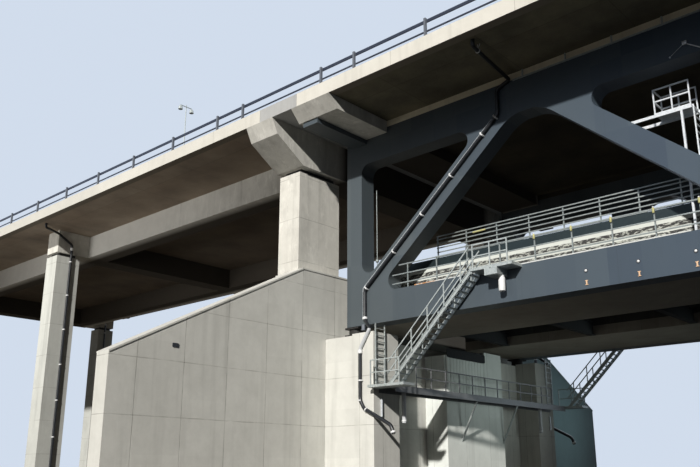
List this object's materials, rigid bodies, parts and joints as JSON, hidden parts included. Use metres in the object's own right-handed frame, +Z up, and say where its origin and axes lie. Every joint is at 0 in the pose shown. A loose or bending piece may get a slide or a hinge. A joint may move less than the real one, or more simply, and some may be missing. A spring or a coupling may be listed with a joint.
{
  "type": "steel truss railway bridge with a road deck, 1:10 scale model",
  "caption": "Scale model of a double-deck bridge: a Warren truss with railway troughs under a road deck, met by a concrete road viaduct on portal piers.",
  "frame": {"origin": "middle of the bridge's bounding box in plan, at the level of its lowest feet", "axes": "+X along the bridge from the viaduct to the truss, +Y across it to the far side, +Z up"},
  "size_m": [11.425, 3.96, 3.153],
  "materials": {
    "concrete": "weathered concrete",
    "joint_concrete": "weathered concrete",
    "truss_steel": "satin blue-grey paint",
    "galvanised_steel": "matt galvanised steel",
    "parapet_steel": "satin dark paint",
    "rail_steel": "rolled steel, worn bright on top",
    "bearing_rubber": "matt",
    "drain_pipe": "matt"
  },
  "bodies": {
    "root": {"abutment_body": "concrete", "abutment_walkway": "galvanised_steel", "back_wall": "concrete", "bearing_pedestals": "concrete", "bottom_chords": "truss_steel", "chord_railing_posts": "galvanised_steel", "chord_railing_rails": "galvanised_steel", "column_bearings": "bearing_rubber", "column_plinths": "concrete", "deck_haunches": "concrete", "diagonals": "truss_steel", "downpipes": "drain_pipe", "duct_walls": "concrete", "edge_beams": "concrete", "end_brackets": "truss_steel", "end_crossbeams": "concrete", "end_posts": "truss_steel", "inspection_platforms": "galvanised_steel", "joint_edge_covers": "joint_concrete", "joint_slab": "joint_concrete", "lamp_heads": "galvanised_steel", "lamp_poles": "galvanised_steel", "landing_railings": "galvanised_steel", "lower_cross_beams": "truss_steel", "lower_landings": "galvanised_steel", "node_gussets": "truss_steel", "parapet_posts": "galvanised_steel", "parapet_rails": "parapet_steel", "pier_columns": "concrete", "pier_crossheads": "concrete", "pier_downpipes": "drain_pipe", "platform_ladders": "galvanised_steel", "platform_railings": "galvanised_steel", "ribbed_block": "concrete", "river_pier": "concrete", "service_rails": "galvanised_steel", "shelf_ladders": "galvanised_steel", "stair_handrails": "galvanised_steel", "stair_stringers": "galvanised_steel", "stair_treads": "galvanised_steel", "top_chords": "truss_steel", "track_railing_posts": "galvanised_steel", "track_railing_rails": "galvanised_steel", "track_rails": "rail_steel", "track_slabs": "concrete", "transition_columns": "concrete", "transition_crosshead": "concrete", "trough_floors": "concrete", "trough_inner_walls": "concrete", "truss_bearings": "bearing_rubber", "truss_deck": "concrete", "upper_landings": "galvanised_steel", "viaduct_deck": "concrete", "viaduct_girders": "concrete", "walkway_ledges": "concrete", "walkway_railing": "galvanised_steel", "walkway_struts": "galvanised_steel", "wing_wall_copings": "concrete", "wing_walls": "concrete"}
  },
  "joints": []
}
